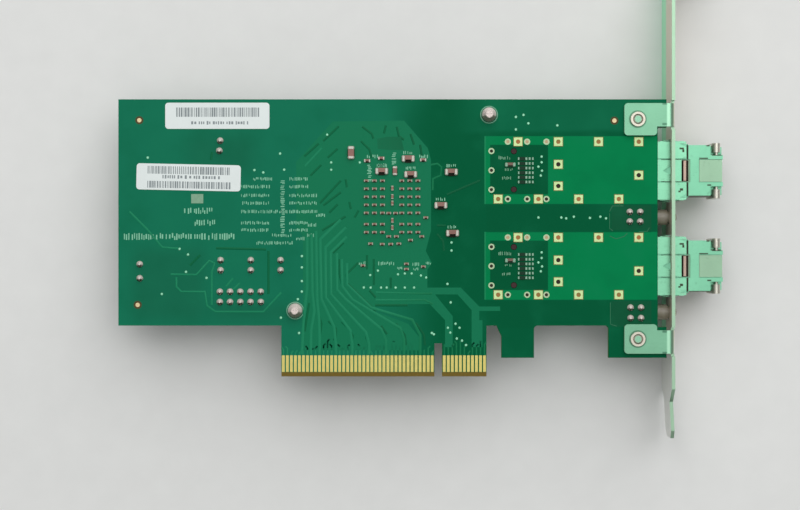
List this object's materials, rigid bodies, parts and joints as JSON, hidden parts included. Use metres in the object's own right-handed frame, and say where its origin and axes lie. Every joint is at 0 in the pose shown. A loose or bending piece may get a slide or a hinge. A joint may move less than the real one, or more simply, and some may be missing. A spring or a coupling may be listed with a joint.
{
  "type": "network interface card",
  "caption": "Low-height network interface card with a full-height slot bracket, finned heat sink and two cages that hold optical modules with bail latches.",
  "frame": {"origin": "middle of the key notch of the edge contacts, on their tip line, at the middle of the board thickness", "axes": "+X toward the ports and the bracket, +Y from the edge contacts to the top edge of the board, +Z out of the solder side"},
  "size_m": [0.1506, 0.12, 0.0196],
  "materials": {
    "solder_mask_board": "green solder mask over glass-epoxy laminate with traces just under it",
    "gold_contact": "gold plating over nickel",
    "plated_steel_bracket": "bright plated sheet steel that takes a green cast from the board",
    "cage_steel": "thin tin-plated sheet",
    "module_casting": "nickel-plated zinc casting",
    "nickel_screw": "nickel plating",
    "spring_steel": "drawn wire",
    "can_aluminium": "drawn bare aluminium",
    "black_anodised": "black anodised extrusion",
    "black_mould": "matt black moulding",
    "black_rubber": "rubber bung",
    "grey_rubber": "soft thermal pad",
    "grey_ferrite": "pressed ferrite powder",
    "chip_ceramic": "fired ceramic with tinned ends",
    "lamp_epoxy": "clear cast epoxy",
    "label_paper": "coated white paper with dark print"
  },
  "bodies": {
    "card": {"bracket": "plated_steel_bracket", "bracket_screws": "nickel_screw", "cage_lower": "cage_steel", "cage_upper": "cage_steel", "capacitor_bungs": "black_rubber", "capacitor_cans": "can_aluminium", "chip_capacitors": "chip_ceramic", "circuit_board": "solder_mask_board", "controller_chip": "black_mould", "crystal": "nickel_screw", "decoupling_chips": "chip_ceramic", "edge_contacts_component_side": "gold_contact", "edge_contacts_solder_side": "gold_contact", "flash_memory": "black_mould", "ground_fingers_lower": "cage_steel", "ground_fingers_upper": "cage_steel", "header_housing": "black_mould", "header_pins": "gold_contact", "heat_sink": "black_anodised", "host_connector_lower": "black_mould", "host_connector_upper": "black_mould", "host_contacts_lower": "gold_contact", "host_contacts_upper": "gold_contact", "indicator_housing_lower": "black_mould", "indicator_housing_upper": "black_mould", "indicator_lamps_lower": "lamp_epoxy", "indicator_lamps_upper": "lamp_epoxy", "label_lower": "label_paper", "label_upper": "label_paper", "module_board_lower": "solder_mask_board", "module_board_upper": "solder_mask_board", "module_collar_lower": "cage_steel", "module_collar_upper": "cage_steel", "module_cover_lower": "module_casting", "module_cover_upper": "module_casting", "module_housing_lower": "module_casting", "module_housing_upper": "module_casting", "module_port_insert_lower": "black_mould", "module_port_insert_upper": "black_mould", "module_receiver_lower": "nickel_screw", "module_receiver_upper": "nickel_screw", "module_transmitter_lower": "nickel_screw", "module_transmitter_upper": "nickel_screw", "power_inductors": "grey_ferrite", "push_pin_springs": "spring_steel", "push_pins": "nickel_screw", "regulators": "black_mould", "thermal_pad": "grey_rubber"},
    "bail_body_upper": {"bail_upper": "module_casting"},
    "slider_body_upper": {"latch_slider_upper": "module_casting"},
    "bail_body_lower": {"bail_lower": "module_casting"},
    "slider_body_lower": {"latch_slider_lower": "module_casting"}
  },
  "joints": [
    {"name": "bail_swing_upper", "type": "hinge", "parent": "card", "child": "bail_body_upper", "pos_m": [0.0696, 0.05124, -0.00233], "axis": [0, -1, 0], "range_deg": [0, 90]},
    {"name": "latch_travel_upper", "type": "slide", "parent": "card", "child": "slider_body_upper", "axis": [1, 0, 0], "range_m": [0, 0.0015]},
    {"name": "bail_swing_lower", "type": "hinge", "parent": "card", "child": "bail_body_lower", "pos_m": [0.0696, 0.02744, -0.00233], "axis": [0, -1, 0], "range_deg": [0, 90]},
    {"name": "latch_travel_lower", "type": "slide", "parent": "card", "child": "slider_body_lower", "axis": [1, 0, 0], "range_m": [0, 0.0015]}
  ],
  "couplings": [
    {"joint": "bail_swing_upper", "follows": "latch_travel_upper", "rad_per_m": 1047},
    {"joint": "bail_swing_lower", "follows": "latch_travel_lower", "rad_per_m": 1047}
  ]
}
